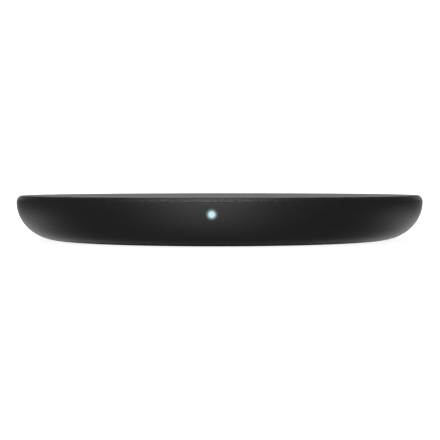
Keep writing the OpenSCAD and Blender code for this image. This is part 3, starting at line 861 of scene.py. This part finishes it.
def shade():
    """The part of the table that the pad keeps dark, for light that comes from below."""
    bm = bmesh.new()
    lathe(bm, [(0, SHADE_Z), (SHADE_R, SHADE_Z)], segments=96)
    disc = finish_mesh(bm, "table_shade")
    look = Look("table_in_shade", Roughness=1.0)
    look.set("Base Color", look.ramp(look.noise(30), grey(0.02), grey(0.03)))
    disc.data.materials.append(look.material)
    disc.visible_camera = False
    disc.visible_shadow = False


# Soft panels of light round the pad: the middle and half width of each across the view, how soft its sides
# are, its lower edge and how soft that is, its upper edge likewise, and its brightness, in degrees.
# A front panel is placed by the slope of the pad's side that mirrors it to the camera's side, -Y.
# A negative brightness takes light away, as a dark cloth over the pad would.
FRONT_PANELS = {
    "tall_front": (-1.8, 9.5, 7, -25, 38, 20, 13, 1.8),
    "high_front": (-3, 15, 6, 16, 7, 53, 7, 1.7),
    "dark_canopy": (0, 45, 12, 62, 8, 100, 5, -0.1),
}
# The others are placed by their azimuth, from the camera's side, and their elevation.
BACK_PANELS = {
    "backdrop": (180.5, 24.5, 7, -16, 6, 9, 6, 1.54),
    "table_sides": (179, 62, 24, -28, 7, -10, 6, 0.9),
}
ROOM_LIGHT = 0.115
BACKGROUND = 1.1                       # what the camera sees behind the table


def maths(nodes, links, operation, *values):
    node = nodes.new("ShaderNodeMath")
    node.operation = operation
    for socket, value in zip(node.inputs, values):
        if isinstance(value, bpy.types.NodeSocket):
            links.new(value, socket)
        else:
            socket.default_value = value
    return node.outputs[0]


def fade(nodes, links, value, dark, bright):
    """0 where the value is at dark, 1 where it is at bright, smooth in between."""
    node = nodes.new("ShaderNodeMapRange")
    node.interpolation_type = "SMOOTHSTEP"
    node.inputs["From Min"].default_value = dark
    node.inputs["From Max"].default_value = bright
    links.new(value, node.inputs["Value"])
    return node.outputs["Result"]


def panel_share(nodes, links, across, up, panel):
    """How much of a panel is seen in a direction, from 0 to 1."""
    middle, half, soft, low, low_soft, high, high_soft = panel
    turned = maths(nodes, links, "SUBTRACT", across, radians(middle))
    aside = maths(nodes, links, "ABSOLUTE", maths(nodes, links, "WRAP", turned, pi, -pi))
    share = fade(nodes, links, aside, radians(half + soft), radians(half - soft))
    for edge, spread in ((low, low_soft), (high, -high_soft)):
        end = fade(nodes, links, up, radians(edge - spread), radians(edge + spread))
        share = maths(nodes, links, "MULTIPLY", share, end)
    return share


def room_brightness(nodes, links):
    """Brightness of the studio by direction: the room's own light and all the panels."""
    split = nodes.new("ShaderNodeSeparateXYZ")
    links.new(nodes.new("ShaderNodeTexCoord").outputs["Generated"], split.inputs["Vector"])
    x, y, z = split.outputs
    azimuth = maths(nodes, links, "ARCTAN2", x, maths(nodes, links, "MULTIPLY", y, -1))
    elevation = maths(nodes, links, "ARCSINE", z)
    behind = maths(nodes, links, "SUBTRACT", 1, y)
    side = maths(nodes, links, "ARCTAN2", x, behind)
    reach = maths(nodes, links, "SQRT", maths(nodes, links, "MULTIPLY", behind, 2))
    rise = maths(nodes, links, "ARCSINE", maths(nodes, links, "DIVIDE", z, reach))
    total = ROOM_LIGHT
    placed = [(side, rise, panel) for panel in FRONT_PANELS.values()]
    placed += [(azimuth, elevation, panel) for panel in BACK_PANELS.values()]
    for across, up, (*panel, brightness) in placed:
        share = panel_share(nodes, links, across, up, panel)
        total = maths(nodes, links, "MULTIPLY_ADD", share, brightness, total)
    return total


def world():
    """The studio as the pad sees it. The camera sees plain white behind the table."""
    made = bpy.data.worlds.new("studio")
    bpy.context.scene.world = made
    made.use_nodes = True
    nodes, links = made.node_tree.nodes, made.node_tree.links
    mix = nodes.new("ShaderNodeMix")
    mix.data_type = "FLOAT"
    links.new(nodes.new("ShaderNodeLightPath").outputs["Is Camera Ray"], mix.inputs[0])
    links.new(room_brightness(nodes, links), mix.inputs[2])
    mix.inputs[3].default_value = BACKGROUND
    links.new(mix.outputs[0], nodes["Background"].inputs["Strength"])
    nodes["Background"].inputs["Color"].default_value = (1, 1, 1, 1)


def studio():
    scene = bpy.context.scene
    scene.view_settings.view_transform = "Standard"
    camera()
    table()
    shade()
    world()


# ---- Assembly ----

def place_piece(piece, material, slot, *nodes):
    piece.data.materials.clear()
    piece.data.materials.append(material)
    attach(piece, "root")
    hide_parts(*nodes)


def carry_over(node, material):
    """Gives one of the frame's own meshes its material."""
    frame["nodes"][node].data.materials.clear()
    frame["nodes"][node].data.materials.append(material)


place_piece(lower_case(), case_plastic(), "bottom_housing", "bottom_housing")
place_piece(soft_top(), skin_rubber(), "top_skin", "top_skin")
place_piece(rubber_foot(), foot_rubber(), "foot_ring", "foot_ring")
place_piece(light_window(), light_acrylic(), "light_pipe", "light_pipe")
nickel = finish("nickel_plate", (0.62, 0.63, 0.65), 1, 0.3, 2500, 0.005 * MM)
place_piece(socket_shell(), nickel, "usb_c_shell", "usb_c_shell")
polymer = finish("black_polymer", BLACK, 0, 0.5, 3000, 0.01 * MM)
place_piece(socket_core(), polymer, "usb_c_insulator", "usb_c_insulator")
place_piece(litz_coil(), strands(), "transmit_coil", "transmit_coil")
carry_over("main_board", solder_mask())
for node, (colour, metal, roughness, grain, depth) in FINISHES.items():
    carry_over(node, finish(node, colour, metal, roughness, grain, depth * MM))
studio()
